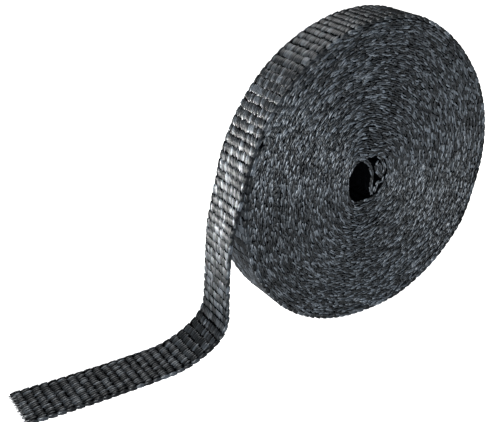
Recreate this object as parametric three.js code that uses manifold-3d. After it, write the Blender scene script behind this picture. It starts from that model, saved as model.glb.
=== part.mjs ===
// Exhaust heat wrap: a long woven glass tape wound on itself into a coil that stands on its rim.
// The tape's outer end peels off the left of the coil, drops to the floor and lies flat along it.
// Millimetres. The coil's axis runs along Y, its front end faces -Y, the tail points to -X and Z is up.

import * as THREE from 'three';
import { mergeVertices } from 'three/addons/utils/BufferGeometryUtils.js';
import Module from 'manifold-3d';

const wasm = await Module();
wasm.setup();

// The tape and its winding
const TAPE_WIDTH = 25;
const TAPE_THICKNESS = 2.05; // as wound, from one turn to the next
const TURNS = 35;
const BORE_HALF_WIDTH = 7.1; // the open core is squeezed, so it is taller than it is wide
const BORE_HALF_HEIGHT = 10.6;
const BORE_SHIFT = 8.4; // the hand-wound core lies this far off the rim's centre, towards the tail
const GROOVE_DEPTH = 0.8; // valley between two turns, on both ends of the coil

// The tail, from the coil to its cut end
const PEEL_HEIGHT_ANGLE = 10; // degrees above the level of the axis where the tape leaves the coil
const PEEL_LENGTH = 25; // straight stretch along the tangent
const PEEL_BEND_RADIUS = 60; // gentle bend that brings the tape upright
const KNEE_RADIUS = 17; // tight bend above the floor
const KNEE_TURN = 52; // degrees turned by the tight bend, the rest is eased out
const EASE_RADIUS = 42; // wide bend that lays the tape down on the floor
const RUN_LENGTH = 69; // flat stretch along the floor

// Facets of the round stretches
const COIL_SEGMENTS = 36;
const ARC_STEP = 9; // degrees turned by one facet of the tail's bends

const HALF_TURN = 180;
const FULL_TURN = 360;
const QUARTER_TURN = 90;
const HALF_WIDTH = TAPE_WIDTH / 2;
const peelAngle = HALF_TURN - PEEL_HEIGHT_ANGLE;

// The wound body holds every turn but the last, which is laid round it as a spiral.
const boreRadius = (BORE_HALF_WIDTH + BORE_HALF_HEIGHT) / 2;
const bodyRadius = boreRadius + (TURNS - 1) * TAPE_THICKNESS;
const radians = THREE.MathUtils.degToRad;

// Outer radius of the last turn, which grows by one thickness from its start under the peel to the peel.
function lastTurnRadius(angle) {
  return bodyRadius + TAPE_THICKNESS * (angle - peelAngle) / FULL_TURN;
}

// The coil touches the floor at the lowest point of its rim.
const floorHeight = -lastTurnRadius(HALF_TURN + QUARTER_TURN);

// Closed triangle mesh to solid.
function toSolid(geometry) {
  const bare = geometry.clone();
  bare.deleteAttribute('normal');
  bare.deleteAttribute('uv');
  const merged = mergeVertices(bare);
  return new wasm.Manifold(new wasm.Mesh({
    numProp: 3,
    vertProperties: new Float32Array(merged.attributes.position.array),
    triVerts: new Uint32Array(merged.index.array),
  }));
}

// Solid back to a geometry that a mesh can show.
function toGeometry(solid) {
  const mesh = solid.getMesh();
  const geometry = new THREE.BufferGeometry();
  geometry.setAttribute('position', new THREE.BufferAttribute(mesh.vertProperties, 3));
  geometry.setIndex(new THREE.BufferAttribute(mesh.triVerts, 1));
  geometry.computeVertexNormals();
  return geometry;
}

// The wound turns as one turned body. Both ends rise to a crest in the middle of each turn and fall to a
// groove between two turns. The innermost turn is shifted and squeezed as the core is, and each turn outside
// it a little less.
function woundBody() {
  const ridge = [];
  const halfTurns = 2 * (TURNS - 1);
  for (let i = 0; i <= halfTurns; i++) {
    const onCrest = i % 2 === 1;
    const reach = onCrest ? HALF_WIDTH : HALF_WIDTH - GROOVE_DEPTH;
    ridge.push(new THREE.Vector2(boreRadius + i * TAPE_THICKNESS / 2, reach));
  }
  const front = ridge.map((point) => new THREE.Vector2(point.x, -point.y));
  const back = ridge.toReversed();
  const profile = [...front, ...back, front[0].clone()];
  const body = new THREE.LatheGeometry(profile, COIL_SEGMENTS);

  const narrowing = BORE_HALF_WIDTH / boreRadius - 1;
  const heightening = BORE_HALF_HEIGHT / boreRadius - 1;
  const position = body.attributes.position;
  for (let i = 0; i < position.count; i++) {
    const x = position.getX(i);
    const z = position.getZ(i);
    const share = (bodyRadius - Math.hypot(x, z)) / (bodyRadius - boreRadius);
    position.setX(i, x * (1 + narrowing * share) - BORE_SHIFT * share);
    position.setZ(i, z * (1 + heightening * share));
  }
  return toSolid(body);
}

// Walks along the middle of the tail and returns its points with the unit normal on the outer side.
// The heading is in degrees from straight down, and grows as the tape swings up towards -X.
function tailPath() {
  const middleRadius = bodyRadius + TAPE_THICKNESS / 2;
  const start = radians(peelAngle);
  let x = middleRadius * Math.cos(start);
  let z = middleRadius * Math.sin(start);
  let heading = PEEL_HEIGHT_ANGLE;
  const path = [];

  const mark = () => {
    const along = radians(heading);
    path.push({ x, z, nx: -Math.cos(along), nz: Math.sin(along) });
  };
  const goStraight = (length) => {
    x -= length * Math.sin(radians(heading));
    z -= length * Math.cos(radians(heading));
    mark();
  };
  const goRound = (radius, turn) => {
    const steps = Math.max(1, Math.round(Math.abs(turn) / ARC_STEP));
    for (let i = 0; i < steps; i++) {
      const before = radians(heading);
      heading += turn / steps;
      const after = radians(heading);
      const side = Math.sign(turn);
      x += side * radius * (Math.cos(after) - Math.cos(before));
      z += side * radius * (Math.sin(before) - Math.sin(after));
      mark();
    }
  };

  mark();
  goStraight(PEEL_LENGTH);
  goRound(PEEL_BEND_RADIUS, -PEEL_HEIGHT_ANGLE);
  const kneeSine = Math.sin(radians(KNEE_TURN));
  const bendHeight = KNEE_RADIUS * kneeSine + EASE_RADIUS * (1 - kneeSine);
  goStraight(z - (floorHeight + TAPE_THICKNESS / 2) - bendHeight);
  goRound(KNEE_RADIUS, KNEE_TURN);
  goRound(EASE_RADIUS, QUARTER_TURN - KNEE_TURN);
  goStraight(RUN_LENGTH);
  return path;
}

// The last turn and the tail in one outline, seen from the front: once round the body, out along the tail's
// outer side and back along its inner side to where the turn began.
function lastTurnAndTail() {
  const outline = [];
  for (let i = 0; i < COIL_SEGMENTS; i++) {
    const angle = peelAngle + i * FULL_TURN / COIL_SEGMENTS;
    const radius = lastTurnRadius(angle);
    outline.push(new THREE.Vector2(radius * Math.cos(radians(angle)), radius * Math.sin(radians(angle))));
  }
  const path = tailPath();
  const side = TAPE_THICKNESS / 2;
  for (const step of path) {
    outline.push(new THREE.Vector2(step.x + side * step.nx, step.z + side * step.nz));
  }
  for (const step of path.slice(1).reverse()) {
    outline.push(new THREE.Vector2(step.x - side * step.nx, step.z - side * step.nz));
  }
  const shape = new THREE.Shape(outline);

  const seatRadius = bodyRadius - TAPE_THICKNESS / 4; // the turn beds into the outer half of the turn below
  const seat = new THREE.Path();
  for (let i = 0; i < COIL_SEGMENTS; i++) {
    const angle = radians(peelAngle + i * FULL_TURN / COIL_SEGMENTS);
    const point = new THREE.Vector2(seatRadius * Math.cos(angle), seatRadius * Math.sin(angle));
    if (i === 0) seat.moveTo(point.x, point.y);
    else seat.lineTo(point.x, point.y);
  }
  seat.closePath();
  shape.holes.push(seat);

  const band = new THREE.ExtrudeGeometry(shape, { depth: TAPE_WIDTH, bevelEnabled: false });
  band.rotateX(Math.PI / 2);
  band.translate(0, HALF_WIDTH, 0);
  return toSolid(band);
}

// Origin on the floor, under the middle of the whole part.
const wrapGeometry = toGeometry(woundBody().add(lastTurnAndTail()));
wrapGeometry.computeBoundingBox();
const middle = wrapGeometry.boundingBox.getCenter(new THREE.Vector3());

const charcoalGlass = new THREE.MeshStandardMaterial({ color: 0x43464a, roughness: 0.8, metalness: 0 });
const heatWrap = new THREE.Mesh(wrapGeometry, charcoalGlass);
heatWrap.name = 'heat_wrap';
heatWrap.position.set(-middle.x, -middle.y, -wrapGeometry.boundingBox.min.z);

const part = new THREE.Group();
part.add(heatWrap);

export default part;
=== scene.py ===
# %% [markdown]
# # Exhaust heat wrap
# This is one long tape of woven glass yarn, wound on itself into a coil. Its outer end peels off the
# coil, drops to the floor and lies along it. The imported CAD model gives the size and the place. Blender
# adds the cloth: the tape that really spirals, its woven ribs, the yarns along both edges and the frayed
# outer end.

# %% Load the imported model
import math

import bpy
import numpy as np
from mathutils import Matrix, Vector


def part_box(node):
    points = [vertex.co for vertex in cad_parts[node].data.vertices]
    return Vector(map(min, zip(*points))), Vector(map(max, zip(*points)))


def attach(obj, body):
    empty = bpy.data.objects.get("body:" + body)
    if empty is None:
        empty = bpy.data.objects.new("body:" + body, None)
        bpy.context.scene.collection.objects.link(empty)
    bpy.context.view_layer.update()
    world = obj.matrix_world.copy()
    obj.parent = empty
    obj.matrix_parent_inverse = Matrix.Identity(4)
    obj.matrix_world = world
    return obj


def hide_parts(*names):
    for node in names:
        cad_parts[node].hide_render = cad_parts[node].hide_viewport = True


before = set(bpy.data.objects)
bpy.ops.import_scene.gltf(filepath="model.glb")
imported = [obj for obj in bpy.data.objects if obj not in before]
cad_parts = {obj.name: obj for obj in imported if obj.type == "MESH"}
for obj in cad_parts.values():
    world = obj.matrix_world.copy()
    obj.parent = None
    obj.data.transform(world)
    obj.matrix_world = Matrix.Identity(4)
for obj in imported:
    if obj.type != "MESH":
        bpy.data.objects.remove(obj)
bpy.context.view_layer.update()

# %% [markdown]
# ## Sizes
# The tape is 25 mm broad and about 2 mm thick. The same few sizes drive the CAD model and this scene: the
# pitch of the turns, the squeezed core and the angle where the tape leaves the coil. The coil's own
# centre isn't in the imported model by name, so it is worked out from the box of the node.

# %% Sizes of the tape and of the coil
MM = 0.001
TAPE_WIDTH = 25 * MM
TURN_PITCH = 2.05 * MM  # the tape's thickness as wound
TURNS = 35
BORE_HALF_WIDTH = 7.1 * MM
BORE_HALF_HEIGHT = 10.6 * MM
BORE_SHIFT = 8.4 * MM
PEEL_ANGLE = 170  # degrees, seen from the front, counter-clockwise from the right
LAST_ANGLE = PEEL_ANGLE + 360  # the winding angle at which the outer turn ends

bore_radius = (BORE_HALF_WIDTH + BORE_HALF_HEIGHT) / 2
body_radius = bore_radius + (TURNS - 1) * TURN_PITCH


def wound_radius(angle):
    """Outer radius of the tape at a winding angle, which goes on growing from turn to turn."""
    return body_radius + TURN_PITCH * (angle - PEEL_ANGLE) / 360


box_low, box_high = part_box("heat_wrap")
coil_x = box_high.x - wound_radius(360)
coil_z = box_low.z + wound_radius(270)
coil_centre = Vector((coil_x, 0, coil_z))
print("coil centre:", [round(v, 5) for v in coil_centre], "radius:", round(wound_radius(360), 5))

# %% [markdown]
# ## Camera, floor and light
# The photograph looks at the coil from its left and from above, with the camera rolled by a few degrees.
# The ground is burnt out to plain white, so the floor glows, and the surroundings are white low down and
# dim overhead. A broad, low light on the left gives the coil's end its two bright wedges. A weaker one
# behind lights the top of the rim, and a narrow spot puts the highlight on the rim above the peel.

# %% Camera
CAMERA_AZIMUTH = -34.41
CAMERA_ELEVATION = 24.89
CAMERA_ROLL = 2.54
CAMERA_DISTANCE = 0.442
CAMERA_RIGHT = -0.0554  # how far the view's middle lies from the coil's centre, across and up the picture
CAMERA_UP = -0.0209
CAMERA_LENS = 61.85

turn, rise, roll = (math.radians(v) for v in (CAMERA_AZIMUTH, CAMERA_ELEVATION, CAMERA_ROLL))
back = Vector((math.sin(turn) * math.cos(rise), -math.cos(turn) * math.cos(rise), math.sin(rise)))
level = Vector((math.cos(turn), math.sin(turn), 0))
upright = back.cross(level)
right = level * math.cos(roll) + upright * math.sin(roll)
above = upright * math.cos(roll) - level * math.sin(roll)

camera = bpy.data.objects.new("camera", bpy.data.cameras.new("camera"))
bpy.context.scene.collection.objects.link(camera)
camera.data.lens = CAMERA_LENS
camera.data.clip_start = 0.01
place = coil_centre + right * CAMERA_RIGHT + above * CAMERA_UP + back * CAMERA_DISTANCE
camera.matrix_world = Matrix.Translation(place) @ Matrix((right, above, back)).transposed().to_4x4()
bpy.context.scene.camera = camera
print("camera at", [round(v, 3) for v in place])


# %% Floor and surroundings
def plain_material(name, colour, roughness):
    """A material with only a colour and a roughness."""
    material = bpy.data.materials.new(name)
    material.use_nodes = True
    shader = material.node_tree.nodes["Principled BSDF"]
    shader.inputs["Base Color"].default_value = (*colour, 1)
    shader.inputs["Roughness"].default_value = roughness
    return material


FLOOR_REACH = 6
FLOOR_GLOW = 0.9  # the floor is lit until it is white, as the photograph's is
floor_mesh = bpy.data.meshes.new("floor")
corners = [(-FLOOR_REACH, -FLOOR_REACH, 0), (FLOOR_REACH, -FLOOR_REACH, 0),
           (FLOOR_REACH, FLOOR_REACH, 0), (-FLOOR_REACH, FLOOR_REACH, 0)]
floor_mesh.from_pydata(corners, [], [(0, 1, 2, 3)])
floor = bpy.data.objects.new("floor", floor_mesh)
bpy.context.scene.collection.objects.link(floor)
floor_mesh.materials.append(plain_material("pale_floor", (0.9, 0.9, 0.9), 0.9))
floor_shader = floor_mesh.materials[0].node_tree.nodes["Principled BSDF"]
floor_shader.inputs["Emission Color"].default_value = (1, 1, 1, 1)
floor_shader.inputs["Emission Strength"].default_value = FLOOR_GLOW

world = bpy.data.worlds.new("studio")
bpy.context.scene.world = world
world.use_nodes = True
sky = world.node_tree
direction = sky.nodes.new("ShaderNodeTexCoord")
height = sky.nodes.new("ShaderNodeSeparateXYZ")
fading = sky.nodes.new("ShaderNodeMapRange")
WORLD_FADE = (0.04, 0.3, 1.0, 0.15)  # from and to this height of the direction, and the strength at each
for socket, value in zip(fading.inputs[1:], WORLD_FADE):
    socket.default_value = value
sky.links.new(direction.outputs["Generated"], height.inputs[0])
sky.links.new(height.outputs["Z"], fading.inputs[0])
sky.links.new(fading.outputs[0], sky.nodes["Background"].inputs["Strength"])
sky.nodes["Background"].inputs["Color"].default_value = (1, 1, 1, 1)
bpy.context.scene.view_settings.view_transform = "Standard"


# %% Lights
LIT_MIDDLE = coil_centre + Vector((-0.04, 0, 0))  # the lights are placed round this point
RIM_SPOT_TARGET = (-0.028, 0, 0.091)


def from_coil(bearing, height, distance):
    """A place round the coil, by its bearing from the tail towards the camera and its height, in degrees."""
    bearing, height = math.radians(bearing), math.radians(height)
    flat = math.cos(height)
    away = Vector((-math.cos(bearing) * flat, -math.sin(bearing) * flat, math.sin(height)))
    return LIT_MIDDLE + away * distance


def add_light(name, kind, place, target, power):
    """A light at a place that faces a target and isn't seen itself."""
    lamp = bpy.data.objects.new(name, bpy.data.lights.new(name, kind))
    bpy.context.scene.collection.objects.link(lamp)
    lamp.data.energy = power
    lamp.location = place
    lamp.rotation_euler = (Vector(place) - Vector(target)).to_track_quat("Z", "Y").to_euler()
    lamp.visible_camera = False
    return lamp


left_light = add_light("left_light", "AREA", from_coil(62, 4, 2.5), coil_centre, 268)
left_light.data.size = 0.88
back_light = add_light("back_light", "AREA", from_coil(-104, 36, 0.7), coil_centre, 3.4)
back_light.data.size = 0.3
rim_spot = add_light("rim_spot", "SPOT", from_coil(-25, 1, 0.55), RIM_SPOT_TARGET, 250)
rim_spot.data.spot_size = math.radians(7.5)
rim_spot.data.spot_blend = 1
rim_spot.data.color = (1.0, 0.95, 0.9)
rim_spot.data.shadow_soft_size = 0.05

# %% [markdown]
# ## The way the tape runs
# Everything follows one line: the middle of the tape, from its inner end in the core to its outer end on
# the floor. On the real coil each turn grows by one thickness, so the line is a spiral. The hand-wound
# core is squeezed and off centre, and each turn outside it is a little rounder. Each point also knows
# which way the tape's breadth and its outer face point.


# %% The spiral
def squeezed(radius, angle):
    """A point of the coil, in metres from its centre, with the core's squeeze and shift."""
    share = np.clip((body_radius - radius) / (body_radius - bore_radius), 0, None)
    narrowing = BORE_HALF_WIDTH / bore_radius - 1
    heightening = BORE_HALF_HEIGHT / bore_radius - 1
    x = radius * np.cos(angle) * (1 + narrowing * share) - BORE_SHIFT * share
    z = radius * np.sin(angle) * (1 + heightening * share)
    return x, z


POCKET_MIDDLE = 8  # degrees, the direction in which the folded inner end holds the turns off the core
POCKET_ABOVE = 66  # degrees from there to where the turns lie close again, above and below
POCKET_BELOW = 85
POCKET_DEPTH = 10.0 * MM
POCKET_START = 11 * MM


def pocket_push(radius, angle):
    """How far a turn is held off the core by the folded inner end of the tape, which lies beside the bore."""
    bearing = (np.degrees(angle) - POCKET_MIDDLE + 180) % 360 - 180
    span = np.where(bearing > 0, POCKET_ABOVE, POCKET_BELOW)
    depth = POCKET_DEPTH * np.cos(np.clip(bearing / span, -1, 1) * math.pi / 2) ** 2
    return depth * (body_radius - radius) / (body_radius - POCKET_START)


# The angle round the rim in degrees, and by how many mm the rim stands out there.
OUT_OF_ROUND = [(0, 0.0), (44, -0.1), (58, 0.7), (76, 2.6), (88, 1.9), (104, 0.5), (120, -0.7),
                (142, -1.9), (160, -2.1), (180, -1.3), (205, -0.1), (235, 0.6), (262, 0.1),
                (275, 0.1), (290, 1.6), (310, 1.9), (330, 2.2), (346, -0.2), (360, 0.0)]
SLACK_POWER = 4  # how fast the slack dies away towards the core


def rim_push(radius, angle):
    """The slack of a hand-wound coil: its outer turns aren't quite round, and its inner ones are."""
    bearings, pushes = zip(*OUT_OF_ROUND)
    push = np.interp(np.degrees(angle) % 360, bearings, pushes) * MM
    return push * np.clip(radius / body_radius, 0, 1) ** SLACK_POWER


INNER_ANGLE = 30 - 33 * 360  # the winding angle at which the folded end joins the spiral
SPIRAL_STEP = 5
WALL_TURN = 140  # degrees of the first turn that are the bore's own wall, before the pocket begins
WALL_FADE = 60
spiral_angles = np.arange(INNER_ANGLE, LAST_ANGLE + SPIRAL_STEP / 2, SPIRAL_STEP)
spiral_radius = wound_radius(spiral_angles) - TURN_PITCH / 2
turned = np.radians(spiral_angles)
past_first = np.clip((spiral_angles - INNER_ANGLE - WALL_TURN) / WALL_FADE, 0, 1)
spiral_radius = spiral_radius + past_first * pocket_push(spiral_radius, turned)
spiral_radius = spiral_radius + rim_push(spiral_radius, turned)
spiral_x, spiral_z = squeezed(spiral_radius, turned)
print("points on the spiral:", len(spiral_x), "turns:", round((LAST_ANGLE - INNER_ANGLE) / 360, 2))

# %% [markdown]
# The tape's inner end was pinched while it was wound: it folds back on itself beside the bore, in a
# pocket between the bore's wall and the next turn. Its route is a short list of points, rounded by a
# spline.

# %% The folded inner end
# Across and up in mm from the coil's centre.
FOLD_POINTS = [(3.4, 10.6), (4.9, 9.2), (6.5, 6.4), (7.5, 3.4), (6.5, 1.7), (4.9, 3.8), (3.6, 6.6),
               (2.0, 7.4), (1.6, 5.4), (3.0, 2.6), (5.2, 0.3), (7.3, -1.7), (6.0, -3.5), (3.7, -3.5),
               (2.6, -5.6), (1.2, -8.0), (-0.2, -6.4), (-0.5, -3.4), (-0.4, -0.4), (-0.5, 2.4)]
FOLD_STEPS = 5


def through_points(points, steps):
    """A smooth line through the points, with that many steps from each to the next."""
    points = np.asarray(points, float)
    padded = np.vstack([2 * points[0] - points[1], points, 2 * points[-1] - points[-2]])
    line = []
    for a, b, c, d in zip(padded, padded[1:], padded[2:], padded[3:]):
        for t in np.arange(steps) / steps:
            line.append(0.5 * (2 * b + (c - a) * t + (2 * a - 5 * b + 4 * c - d) * t ** 2
                               + (3 * b - a - 3 * c + d) * t ** 3))
    return np.array(line + [points[-1]])


joined = [(x / MM, z / MM) for x, z in zip(spiral_x[:2], spiral_z[:2])]
fold_line = through_points(FOLD_POINTS + joined, FOLD_STEPS)[:-FOLD_STEPS - 1] * MM
print("points on the folded end:", len(fold_line))

# %% [markdown]
# The outer end leaves the coil along its tangent, hangs upright, turns through a tight knee above the
# floor and is eased down to lie flat. The route is walked like a turtle, with the heading in degrees from
# straight down.

# %% The tail
PEEL_LENGTH = 25 * MM
PEEL_BEND_RADIUS = 60 * MM
KNEE_RADIUS = 17 * MM
KNEE_TURN = 52
EASE_RADIUS = 42 * MM
RUN_LENGTH = 69.4 * MM
TAIL_STEP = 2.5 * MM
TAIL_SETTLE = 45 * MM  # the length over which the tail takes up the coil's slack


def tail_line():
    """Points along the middle of the tail, in metres from the coil's centre."""
    peel = math.radians(PEEL_ANGLE)
    x, z = ((wound_radius(LAST_ANGLE) - TURN_PITCH / 2) * v for v in (math.cos(peel), math.sin(peel)))
    gap = np.array([spiral_x[-1] - x, spiral_z[-1] - z])  # the slack of the coil where the tail leaves it
    heading = 180.0 - PEEL_ANGLE
    points = []

    def go(length, turn):
        nonlocal x, z, heading
        steps = max(2, round(length / TAIL_STEP))
        for _ in range(steps):
            along = math.radians(heading + turn / steps / 2)
            x -= math.sin(along) * length / steps
            z -= math.cos(along) * length / steps
            heading += turn / steps
            points.append((x, z))

    go(PEEL_LENGTH, 0)
    go(PEEL_BEND_RADIUS * math.radians(heading), -heading)
    knee_sine = math.sin(math.radians(KNEE_TURN))
    bends = KNEE_RADIUS * knee_sine + EASE_RADIUS * (1 - knee_sine)
    go(z + coil_z - TURN_PITCH / 2 - bends, 0)
    go(KNEE_RADIUS * math.radians(KNEE_TURN), KNEE_TURN)
    go(EASE_RADIUS * math.radians(90 - KNEE_TURN), 90 - KNEE_TURN)
    go(RUN_LENGTH, 0)
    points = np.array(points)
    below = np.linalg.norm(points - points[0], axis=1)
    return points + gap * np.clip(1 - below / TAIL_SETTLE, 0, 1)[:, None]


tail = tail_line()
flat_line = np.vstack([fold_line, np.column_stack([spiral_x, spiral_z]), tail])
gaps = np.linalg.norm(np.diff(flat_line, axis=0), axis=1)
length_at = np.concatenate([[0], np.cumsum(gaps)])
tape_length = length_at[-1]
spiral_start = length_at[len(fold_line)]
peel_at = length_at[len(fold_line) + len(spiral_x) - 1]
print("tape length:", round(tape_length, 3), "m, of which the tail is", round(tape_length - peel_at, 4))

# %% [markdown]
# A hand-wound coil isn't perfectly flush: each turn lies a few tenths of a millimetre nearer or farther
# than its neighbours. The hanging part of the tail is also twisted a little about the vertical, and it
# wanders on the floor. Both are added here, where the line gets its third dimension.

# %% Breadth direction, face direction and small wanderings
TWIST = 4.5  # degrees, largest where the tape hangs
TWIST_MIDDLE = 48 * MM  # below the peel, along the tape
TWIST_SPREAD = 34 * MM
WANDER = 1.3 * MM
WANDER_START = 100 * MM  # past the peel, where the tail lies on the floor
FLUSH_ERROR = 0.28 * MM
OUTER_TURN = 0.5  # metres


def smooth_noise(at, spacing, seed):
    """A smooth random line between -1 and 1 that changes over about that spacing."""
    source = np.random.default_rng(seed).uniform(-1, 1, int(at.max() / spacing) + 3)
    return np.interp(at / spacing, np.arange(len(source)), source)


run = np.clip(length_at - peel_at, 0, None)
on_coil = length_at <= peel_at
twist = np.radians(TWIST) * np.exp(-((run - TWIST_MIDDLE) / TWIST_SPREAD) ** 2) * ~on_coil
tangent = np.gradient(flat_line, length_at, axis=0)
tangent /= np.linalg.norm(tangent, axis=1)[:, None]
outward = np.column_stack([tangent[:, 1], np.zeros(len(run)), -tangent[:, 0]])
across = np.column_stack([np.sin(twist), np.cos(twist), np.zeros(len(run))])
outward -= across * np.sum(outward * across, axis=1)[:, None]
outward /= np.linalg.norm(outward, axis=1)[:, None]

flush = FLUSH_ERROR * smooth_noise(length_at, 0.045, 3) + 0.6 * FLUSH_ERROR * smooth_noise(length_at, 0.4, 4)
settle = np.clip((peel_at - length_at) / OUTER_TURN, 0, 1)  # the outer turn lies true
floor_share = np.clip((run - WANDER_START) / (tape_length - peel_at - WANDER_START), 0, 1)
drift = -WANDER * np.sin(floor_share * math.pi * 0.8)
middle = np.column_stack([coil_x + flat_line[:, 0], flush * settle + drift, coil_z + flat_line[:, 1]])
print("lowest point of the middle line:", round(middle[:, 2].min() / MM, 3), "mm above the floor")

# %% [markdown]
# ## The tape itself
# One closed ribbon follows the whole line, from the inner end to the outer one. It is the inside of the
# cloth, which shows only between the yarns. Its near-black colour is painted shade, the shade that falls
# in the grooves between the yarns. It is thinner and narrower than the cloth, because the yarns that are
# laid on it make up the rest.

# %% Ribbon along the line
CORE_THICKNESS = 1.15 * MM
CORE_WIDTH = TAPE_WIDTH - 1.8 * MM
CORNER = 0.3 * MM


def ribbon_mesh(name, centres, breadths, faces_out, half_width, half_thick, corner):
    """A closed ribbon with bevelled edges along a line."""
    profile = [(-half_width, -half_thick + corner), (-half_width, half_thick - corner),
               (-half_width + corner, half_thick), (half_width - corner, half_thick),
               (half_width, half_thick - corner), (half_width, -half_thick + corner),
               (half_width - corner, -half_thick), (-half_width + corner, -half_thick)]
    rings = [centres + breadths * a + faces_out * b for a, b in profile]
    vertices = np.stack(rings, axis=1).reshape(-1, 3)
    count, sides = len(centres), len(profile)
    quads = []
    for i in range(count - 1):
        for j in range(sides):
            k = (j + 1) % sides
            quads.append((i * sides + j, i * sides + k, (i + 1) * sides + k, (i + 1) * sides + j))
    caps = [tuple(reversed(range(sides))), tuple((count - 1) * sides + j for j in range(sides))]
    mesh = bpy.data.meshes.new(name)
    mesh.from_pydata(vertices.tolist(), [], quads + caps)
    mesh.update()
    return mesh


tape_mesh = ribbon_mesh("tape_core", middle, across, outward, CORE_WIDTH / 2, CORE_THICKNESS / 2, CORNER)
print("ribbon faces:", len(tape_mesh.polygons))

# %% [markdown]
# ## Glass yarn
# The yarn is charcoal glass. It is nearly black, and almost all that the photograph shows of it is gloss,
# so the colour is very dark and the gloss does the work. The gloss dies away where the yarn is seen at a
# grazing angle, as it does on a bundle of fibres. Each float of yarn has its own tone from an attribute,
# and only a few are bright. Their colour is partly random tone and partly painted glints, and the same
# attribute also raises their real gloss. Fine fibres run along the yarn with its twist, as streaks in
# colour and roughness and as bump. The near-black cloth under the yarns and on the bore's wall is
# painted shade.


# %% Materials
def add_node(tree, kind, *values, **settings):
    """One node. Settings are its properties, and values fill its inputs in order, as links where they can."""
    made = tree.nodes.new(kind)
    for key, value in settings.items():
        setattr(made, key, value)
    for socket, value in zip([s for s in made.inputs if s.enabled], values):
        if isinstance(value, bpy.types.NodeSocket):
            tree.links.new(value, socket)
        elif value is not None:
            socket.default_value = value
    return made


def result(made, name=None):
    """The output of a node by name, or the first that is in use."""
    return next(s for s in made.outputs if s.enabled and name in (None, s.name))


FIBRE_PATTERN = (260, 2600, 1)  # along and across the yarn
FIBRE_TWIST = 0.3  # radians
FIBRE_RELIEF = 0.12 * MM
PATCH_PATTERN = 22.0
SPECKLE_PATTERN = 900.0
# The few bright yarns are partly random tone and partly painted glints in their colour.
GLINT_AND_TONE_POWER = 3.0  # so that few yarns are bright
GLOSS_TINT = (0.92, 0.97, 1.0, 1)


def yarn_material(name, dark, light, roughness, tone_and_glint_range, specular):
    """Twisted glass yarn. Its pattern runs along the yarn by the UV map, and each float has its own tone,
    which on the few bright floats is partly painted glint.
    """
    material = bpy.data.materials.new(name)
    material.use_nodes = True
    tree = material.node_tree
    shader = tree.nodes["Principled BSDF"]
    tone_and_glint = result(add_node(tree, "ShaderNodeAttribute", attribute_name="tone_and_glint"), "Fac")
    uv = result(add_node(tree, "ShaderNodeUVMap", uv_map="yarn"))
    place = result(add_node(tree, "ShaderNodeTexCoord"), "Object")
    slanted = result(add_node(tree, "ShaderNodeMapping", uv, (0, 0, 0), (0, 0, FIBRE_TWIST), FIBRE_PATTERN))
    fibres = add_node(tree, "ShaderNodeTexNoise", slanted, tone_and_glint, 1.0, 3.0, 0.6, noise_dimensions="4D")
    patches = result(add_node(tree, "ShaderNodeTexNoise", place, PATCH_PATTERN, 2.0, 0.5), "Fac")
    speckle = result(add_node(tree, "ShaderNodeTexNoise", place, SPECKLE_PATTERN, 2.0, 0.6), "Fac")
    fibre = result(fibres, "Fac")

    def ranged(value, low, high, out_low, out_high):
        return result(add_node(tree, "ShaderNodeMapRange", value, low, high, out_low, out_high))

    def product(a, b):
        return result(add_node(tree, "ShaderNodeMath", a, b, operation="MULTIPLY"))

    strength = product(ranged(fibre, 0.35, 0.7, 0.55, 1.5), ranged(patches, 0.3, 0.7, 0.75, 1.25))
    strength = product(strength, ranged(speckle, 0.35, 0.7, 0.8, 1.25))
    # The tone widens the colour's range. It is random tone, and on the few bright floats it is partly painted
    # glints.
    skewed = result(add_node(tree, "ShaderNodeMath", tone_and_glint, GLINT_AND_TONE_POWER, operation="POWER"))
    strength = product(strength, ranged(skewed, 0.0, 1.0, *tone_and_glint_range))
    mixed = add_node(tree, "ShaderNodeMix", data_type="RGBA", clamp_factor=False)
    tree.links.new(strength, mixed.inputs["Factor"])
    ends = [s for s in mixed.inputs if s.enabled and s.name in ("A", "B")]
    ends[0].default_value, ends[1].default_value = (*dark, 1), (*light, 1)
    tree.links.new(result(mixed, "Result"), shader.inputs["Base Color"])
    tree.links.new(ranged(fibre, 0.3, 0.7, roughness + 0.1, roughness - 0.1), shader.inputs["Roughness"])
    bump = add_node(tree, "ShaderNodeBump", 0.5, FIBRE_RELIEF)
    tree.links.new(fibre, bump.inputs["Height"])
    tree.links.new(result(bump), shader.inputs["Normal"])
    shader.inputs["Specular Tint"].default_value = GLOSS_TINT
    facing = result(add_node(tree, "ShaderNodeLayerWeight", 0.5), "Facing")
    gloss = product(ranged(facing, 0.35, 0.85, specular, 0.0), ranged(skewed, 0.0, 1.0, 0.6, 2.1))
    shader.inputs["Specular IOR Level"].default_value = specular
    tree.links.new(gloss, shader.inputs["Specular IOR Level"])
    return material


glass_yarn = yarn_material("charcoal_glass_yarn", dark=(0.0009, 0.0012, 0.0015),
                           light=(0.0082, 0.0102, 0.0126), roughness=0.38, tone_and_glint_range=(0.08, 4.3),
                           specular=0.29)
face_yarn = yarn_material("charcoal_face_yarn", dark=(0.0011, 0.0014, 0.0017),
                          light=(0.0095, 0.0118, 0.0145), roughness=0.42, tone_and_glint_range=(0.2, 3.6),
                          specular=0.36)
# Near-black painted shade, for the grooves between the yarns where shade falls and for the inside of the
# bore.
painted_shade_cloth = yarn_material("painted_shade_cloth", dark=(0.0002, 0.0002, 0.0003),
                            light=(0.0006, 0.0007, 0.0009), roughness=0.9, tone_and_glint_range=(0.6, 1.4),
                            specular=0.0)
cut_glass = yarn_material("cut_glass_fibre", dark=(0.03, 0.032, 0.034), light=(0.12, 0.125, 0.13),
                          roughness=0.45, tone_and_glint_range=(0.3, 2.6), specular=0.3)
print("materials:", [m.name for m in bpy.data.materials])

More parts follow.
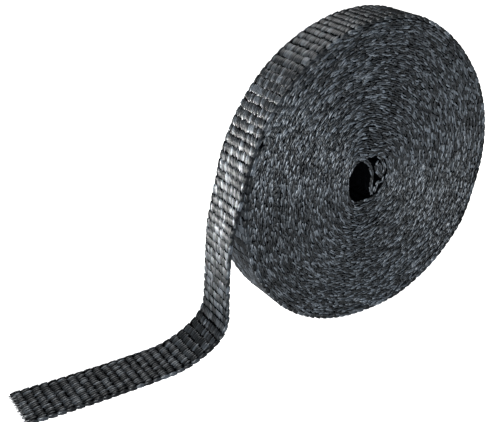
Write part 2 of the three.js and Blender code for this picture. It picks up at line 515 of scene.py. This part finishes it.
# %% [markdown]
# ## Forms of yarn
# In a plain weave every yarn along the tape goes over one cross yarn and under the next. What shows on
# the face is a short loaf of yarn, called a float, and the floats over one cross yarn make a rib with a
# dark groove on either side. Along both edges the cross yarn comes round from one face to the other as a
# small loop. Each form is modelled once, with its own UV map that runs along the yarn, and is laid
# thousands of times by Geometry Nodes. So it has only a few dozen faces.


# %% Float and loop forms
LOAF = [(-1.0, 0.0), (-0.8, 0.62), (0.0, 1.0), (0.8, 0.62), (1.0, 0.0)]  # across and up
FULL_LOAF = [(-1.0, 0.0), (-0.9, 0.55), (-0.45, 0.92), (0.45, 0.92), (0.9, 0.55), (1.0, 0.0)]


def tube_mesh(name, rings, uvs):
    """A closed tube through rings of points, with a yarn UV map."""
    sides = len(rings[0])
    last = (len(rings) - 1) * sides
    faces = [tuple(reversed(range(sides))), tuple(last + j for j in range(sides))]
    for i in range(0, last, sides):
        for j in range(sides):
            k = (j + 1) % sides
            faces.append((i + j, i + k, i + sides + k, i + sides + j))
    mesh = bpy.data.meshes.new(name)
    mesh.from_pydata([p for ring in rings for p in ring], [], faces)
    layer = mesh.uv_layers.new(name="yarn")
    flat_uvs = [uv for ring in uvs for uv in ring]
    for loop in mesh.loops:
        layer.data[loop.index].uv = flat_uvs[loop.vertex_index]
    mesh.shade_smooth()
    return mesh


def float_mesh(name, length, width, height, rings, sink, fullness, profile=LOAF):
    """A float along X that rises to its height out of the cloth, and whose ends and bottom lie inside it."""
    made, uvs = [], []
    for s in np.sin(np.linspace(-math.pi / 2, math.pi / 2, rings + 2)):
        fade = max(0.0, 1 - abs(s) ** fullness)
        half = width / 2 * (0.5 + 0.5 * fade)
        top = (height + sink / 2) * fade - sink / 2
        made.append([(s * length / 2, half * a, (top + sink) * b - sink) for a, b in reversed(profile)])
        uvs.append([(s * length / 2, half * a + b * height) for a, b in reversed(profile)])
    return tube_mesh(name, made, uvs)


def blunt(share):
    """Makes the round of a loop squarer."""
    return math.copysign(abs(share) ** 0.65, share)


def loop_mesh(name, breadth, thickness, half_span, reach, rings):
    """A yarn of an oval section that goes round the tape's edge in the YZ plane, with its ends inside."""
    made, uvs = [], []
    for turn in np.radians(np.linspace(-38, 218, rings)):
        y, z = half_span * blunt(math.cos(turn)), reach * blunt(math.sin(turn))
        ring = []
        for around in np.radians(np.arange(30, 390, 60)):
            out = thickness / 2 * math.sin(around)
            ring.append((breadth / 2 * math.cos(around), y + out * math.cos(turn), z + out * math.sin(turn)))
        made.append(ring)
        uvs.append([(turn * reach, x) for x, _, _ in ring])
    return tube_mesh(name, made, uvs)


def source(name, mesh):
    """A form that only Geometry Nodes read. It isn't linked to the scene."""
    print(name, len(mesh.loops) - 2 * len(mesh.polygons), "triangles")
    return bpy.data.objects.new(name, mesh)


RIB_PITCH = 4.3 * MM  # from one cross yarn to the next
FLOAT_SPACING = 1.4 * MM  # from one float to the next in the same rib
FLOAT_REACH = 0.44 * MM  # how far a float stands off the ribbon's face
face_float = source("face_float", float_mesh("face_float", 5.1 * MM, 1.8 * MM, FLOAT_REACH, rings=4,
                                             sink=0.5 * MM, fullness=3.4, profile=FULL_LOAF))
edge_strand = source("edge_strand", float_mesh("edge_strand", 3.2 * MM, 0.85 * MM, 0.9 * MM, rings=2,
                                               sink=0.3 * MM, fullness=3.0))
edge_loop = source("edge_loop", loop_mesh("edge_loop", breadth=5.3 * MM, thickness=1.2 * MM,
                                          half_span=0.46 * MM, reach=0.32 * MM, rings=6))

# %% [markdown]
# ## Laying yarns along the tape
# One node tree lays the floats of a face, and the same tree lays the rows of an edge and the fringe. It
# turns the line into points one rib apart, copies each point across the breadth, shifts every second rib
# by half a spacing, drops what falls past the edge, and turns each float along the tape with a little
# scatter. Named inputs hold the sizes, and each random value has a fixed seed.

# %% Node tree for floats
FLOATS_ACROSS = 17
ROW_HALF = 10.9 * MM  # nothing is laid farther from the middle of the tape's breadth
FLOAT_INPUTS = [
    ("Float", "NodeSocketObject", None), ("Material", "NodeSocketMaterial", None),
    ("Rib Pitch", "NodeSocketFloat", RIB_PITCH), ("Along Shift", "NodeSocketFloat", 0.0),
    ("Floats Across", "NodeSocketInt", FLOATS_ACROSS), ("Spacing", "NodeSocketFloat", FLOAT_SPACING),
    ("Half Breadth", "NodeSocketFloat", ROW_HALF), ("Across Middle", "NodeSocketFloat", 0.0),
    ("Out", "NodeSocketFloat", 0.0), ("Turn About Along", "NodeSocketFloat", 0.0),
    ("Slant", "NodeSocketFloat", 0.0), ("Scatter", "NodeSocketFloat", 0.1),
    ("Wander", "NodeSocketVector", (0, 0, 0)), ("Size Scatter", "NodeSocketFloat", 0.1),
    ("Seed", "NodeSocketInt", 0),
]


def new_tree(name, inputs):
    """A node tree with a geometry input, the named inputs and a geometry output."""
    tree = bpy.data.node_groups.new(name, "GeometryNodeTree")
    tree.interface.new_socket("Geometry", in_out="INPUT", socket_type="NodeSocketGeometry")
    for label, kind, value in inputs:
        socket = tree.interface.new_socket(label, in_out="INPUT", socket_type=kind)
        if value is not None:
            socket.default_value = value
    tree.interface.new_socket("Geometry", in_out="OUTPUT", socket_type="NodeSocketGeometry")
    return tree, tree.nodes.new("NodeGroupInput"), tree.nodes.new("NodeGroupOutput")


def float_tree():
    """Lays one form at each crossing of the ribs and the rows across the tape."""
    tree, given, made = new_tree("yarns_along_tape", FLOAT_INPUTS)
    value = {s.name: s for s in given.outputs}

    def math_node(operation, a, b=None):
        return result(add_node(tree, "ShaderNodeMath", a, b, operation=operation))

    def named(label, kind):
        return result(add_node(tree, "GeometryNodeInputNamedAttribute", label, data_type=kind), "Attribute")

    def vector(operation, *values):
        return result(add_node(tree, "ShaderNodeVectorMath", *values, operation=operation))

    def random(low, high, shift, kind="FLOAT"):
        seed = math_node("ADD", value["Seed"], float(shift))
        return result(add_node(tree, "FunctionNodeRandomValue", low, high, None, seed, data_type=kind))

    curve = result(add_node(tree, "GeometryNodeMeshToCurve", value["Geometry"]))
    trimmed = add_node(tree, "GeometryNodeTrimCurve", curve, mode="LENGTH")
    tree.links.new(value["Along Shift"], trimmed.inputs[4])
    trimmed.inputs[5].default_value = 100.0
    spread = add_node(tree, "GeometryNodeCurveToPoints", result(trimmed), mode="LENGTH")
    tree.links.new(value["Rib Pitch"], spread.inputs["Length"])
    index = result(add_node(tree, "GeometryNodeInputIndex"))
    kept = add_node(tree, "GeometryNodeStoreNamedAttribute", result(spread), None, "rib", index,
                    data_type="INT")
    kept = add_node(tree, "GeometryNodeStoreNamedAttribute", result(kept), None, "along",
                    result(spread, "Tangent"), data_type="FLOAT_VECTOR")
    rows = add_node(tree, "GeometryNodeDuplicateElements", result(kept), None, value["Floats Across"],
                    domain="POINT")
    parity = math_node("MODULO", named("rib", "INT"), 2.0)
    middle_row = math_node("MULTIPLY", math_node("SUBTRACT", value["Floats Across"], 1.0), 0.5)
    row = math_node("SUBTRACT", result(rows, "Duplicate Index"), middle_row)
    row = math_node("ADD", row, math_node("MULTIPLY", parity, 0.5))
    sideways = math_node("MULTIPLY", row, value["Spacing"])
    past_edge = math_node("GREATER_THAN", math_node("ABSOLUTE", sideways), value["Half Breadth"])
    inside = add_node(tree, "GeometryNodeDeleteGeometry", result(rows), past_edge, domain="POINT")
    sideways = math_node("ADD", sideways, value["Across Middle"])
    wander = random(vector("SCALE", value["Wander"], -1.0), value["Wander"], 6, "FLOAT_VECTOR")
    wander = add_node(tree, "ShaderNodeSeparateXYZ", wander).outputs
    shift = vector("SCALE", named("along", "FLOAT_VECTOR"), wander[0])
    shift = vector("ADD", shift, vector("SCALE", named("across", "FLOAT_VECTOR"),
                                        math_node("ADD", sideways, wander[1])))
    shift = vector("ADD", shift, vector("SCALE", named("out", "FLOAT_VECTOR"),
                                        math_node("ADD", value["Out"], wander[2])))
    placed = add_node(tree, "GeometryNodeSetPosition", result(inside), None, None, shift)
    facing = result(add_node(tree, "FunctionNodeAxesToRotation", named("along", "FLOAT_VECTOR"),
                             named("out", "FLOAT_VECTOR"), primary_axis="X", secondary_axis="Z"))
    spin = result(add_node(tree, "ShaderNodeCombineXYZ", value["Turn About Along"], None, None))
    facing = result(add_node(tree, "FunctionNodeRotateRotation", facing, spin, rotation_space="LOCAL"))
    low = math_node("SUBTRACT", value["Slant"], value["Scatter"])
    high = math_node("ADD", value["Slant"], value["Scatter"])
    slant = result(add_node(tree, "ShaderNodeCombineXYZ", None, None, random(low, high, 1)))
    facing = result(add_node(tree, "FunctionNodeRotateRotation", facing, slant, rotation_space="LOCAL"))
    small = math_node("SUBTRACT", 1.0, value["Size Scatter"])
    large = math_node("ADD", 1.0, value["Size Scatter"])
    size = result(add_node(tree, "ShaderNodeCombineXYZ", random(small, large, 2), random(small, large, 3),
                           random(small, large, 4)))
    form = add_node(tree, "GeometryNodeObjectInfo", value["Float"])
    laid = add_node(tree, "GeometryNodeInstanceOnPoints", result(placed), None, result(form, "Geometry"),
                    None, None, facing, size)
    # Random tone per float. Its bright end is partly painted glints in the yarn's colour.
    toned = add_node(tree, "GeometryNodeStoreNamedAttribute", result(laid), None, "tone_and_glint", random(0.0, 1.0, 5),
                     data_type="FLOAT", domain="INSTANCE")
    real = add_node(tree, "GeometryNodeRealizeInstances", result(toned))
    dressed = add_node(tree, "GeometryNodeSetMaterial", result(real), None, value["Material"])
    tree.links.new(result(dressed), made.inputs[0])
    return tree


yarns_along_tape = float_tree()
print("nodes in the tree:", len(yarns_along_tape.nodes))


# %% [markdown]
# ## The woven faces
# The yarns show on the whole outer face of the last turn and of the tail, on the tail's inner face, and
# on the wall of the bore. Elsewhere the faces touch and are never seen, so they get none.


# %% Faces
def guide(name, first, last):
    """The part of the middle line between two lengths, as a chain of edges with both directions on it."""
    chosen = np.flatnonzero((length_at >= first) & (length_at <= last))
    points = middle[chosen]
    mesh = bpy.data.meshes.new(name)
    mesh.from_pydata(points.tolist(), [(i, i + 1) for i in range(len(points) - 1)], [])
    for label, values in (("across", across[chosen]), ("out", outward[chosen])):
        mesh.attributes.new(label, "FLOAT_VECTOR", "POINT").data.foreach_set("vector", values.ravel())
    return mesh


def lay_yarns(name, first, last, **inputs):
    """Runs the node tree on a part of the line and keeps the result as a plain mesh."""
    piece = bpy.data.objects.new(name, guide(name, first, last))
    bpy.context.scene.collection.objects.link(piece)
    modifier = piece.modifiers.new("yarns", "NODES")
    modifier.node_group = yarns_along_tape
    identifiers = {i.name: i.identifier for i in yarns_along_tape.interface.items_tree if i.in_out == "INPUT"}
    for label, value in inputs.items():
        modifier[identifiers[label.replace("_", " ")]] = value
    evaluated = piece.evaluated_get(bpy.context.evaluated_depsgraph_get())
    made = bpy.data.meshes.new_from_object(evaluated)
    guide_mesh = piece.data
    piece.modifiers.clear()
    piece.data = made
    bpy.data.meshes.remove(guide_mesh)
    made.name = name
    print(name, len(made.loops) - 2 * len(made.polygons), "triangles")
    return piece


face_out = CORE_THICKNESS / 2
END_CLEAR = 1 * MM  # the last rib stops short of the cut end
PEEL_OVERLAP = 4 * MM
BORE_WALL = 65 * MM  # length of tape past the folded end that is seen through the core
weave = {"Float": face_float, "Material": face_yarn, "Slant": 0.28, "Scatter": 0.12, "Size_Scatter": 0.1,
         "Wander": (0.4 * MM, 0.15 * MM, 0.06 * MM)}
last_turn_at = peel_at - 0.512  # a little more than one turn before the peel
cut_at = tape_length - END_CLEAR
outer_face = lay_yarns("outer_face_weave", last_turn_at, cut_at, **weave, Out=face_out, Seed=11)
under_face = lay_yarns("inner_face_weave", peel_at - PEEL_OVERLAP, cut_at, **weave, Out=-face_out,
                       Turn_About_Along=math.pi, Seed=12)
# The bore's wall gets the near-black cloth, which is painted shade inside the bore.
bore_face = lay_yarns("bore_weave", 0.0, spiral_start + BORE_WALL, **{**weave, "Material": painted_shade_cloth},
                      Out=-face_out, Turn_About_Along=math.pi, Seed=13)

# %% [markdown]
# ## The edges
# On the coil's two ends only the tape's edges show. Inside the coil each turn shows two rows of short
# strands, one from each face, scattered as they are on the real coil, and they give its end the grain. On
# the last turn and the tail the edge is seen from the side as well, so there it has its real form: one
# rounded loop of cross yarn at each rib.

# %% Edge yarns of both ends
STRAND_SPACING = 2.3 * MM
STRAND_ROW = 0.5 * MM  # each row's distance from the middle of the tape's thickness
edge_middle = CORE_WIDTH / 2 - 0.05 * MM
edges = []
for side, facing in (("front", 1), ("back", -1)):
    edge = {"Material": glass_yarn, "Floats_Across": 1, "Spacing": 0.0,
            "Across_Middle": -facing * edge_middle, "Turn_About_Along": facing * math.pi / 2}
    strands = {**edge, "Float": edge_strand, "Rib_Pitch": STRAND_SPACING, "Scatter": 0.3,
               "Size_Scatter": 0.25, "Wander": (0.7 * MM, 0.2 * MM, 0.15 * MM)}
    for row, out in ((1, STRAND_ROW), (2, -STRAND_ROW)):
        edges.append(lay_yarns(f"{side}_edge_strands_{row}", 0.0, last_turn_at, **strands, Out=out,
                               Along_Shift=(row - 1) * STRAND_SPACING / 2, Seed=20 + row))
    edges.append(lay_yarns(f"{side}_edge_loops", last_turn_at, cut_at, **edge, Float=edge_loop,
                           Slant=0.12, Scatter=0.08, Size_Scatter=0.06, Seed=30))

# %% [markdown]
# The cut end isn't sealed. Its yarns open into a short, pale fringe of loose fibres.

# %% Fringe of the cut end
FRINGE = 2.2 * MM  # the last stretch of the tape, where the yarns have opened
FIBRE_SPACING = 0.5 * MM
cut_fibre = source("cut_fibre", float_mesh("cut_fibre", 2.4 * MM, 0.3 * MM, 0.16 * MM, rings=2,
                                           sink=0.14 * MM, fullness=3.0))
last_points = length_at[-4]  # the guide needs a few points, and is cut back to the fringe
fringe = lay_yarns("cut_end_fringe", last_points, tape_length, Float=cut_fibre, Material=cut_glass,
                   Rib_Pitch=0.45 * MM, Along_Shift=tape_length - FRINGE - last_points,
                   Floats_Across=44, Spacing=FIBRE_SPACING, Scatter=0.5, Size_Scatter=0.3,
                   Wander=(0.3 * MM, 0.3 * MM, 0.8 * MM), Seed=41)

# %% [markdown]
# ## Attaching the pieces
# Every piece rides on the one body and stands for the CAD coil.

tape = bpy.data.objects.new("tape_core", tape_mesh)
bpy.context.scene.collection.objects.link(tape)
# The core's near-black colour is painted shade in the grooves between the yarns.
tape_mesh.materials.append(painted_shade_cloth)
yarns = [outer_face, under_face, bore_face, *edges, fringe]
for piece in [tape, *yarns]:
    piece.data.shade_smooth()
    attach(piece, "root")
    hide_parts("heat_wrap")
total = sum(len(o.data.loops) - 2 * len(o.data.polygons) for o in [tape, *yarns])
print("triangles in all:", total)
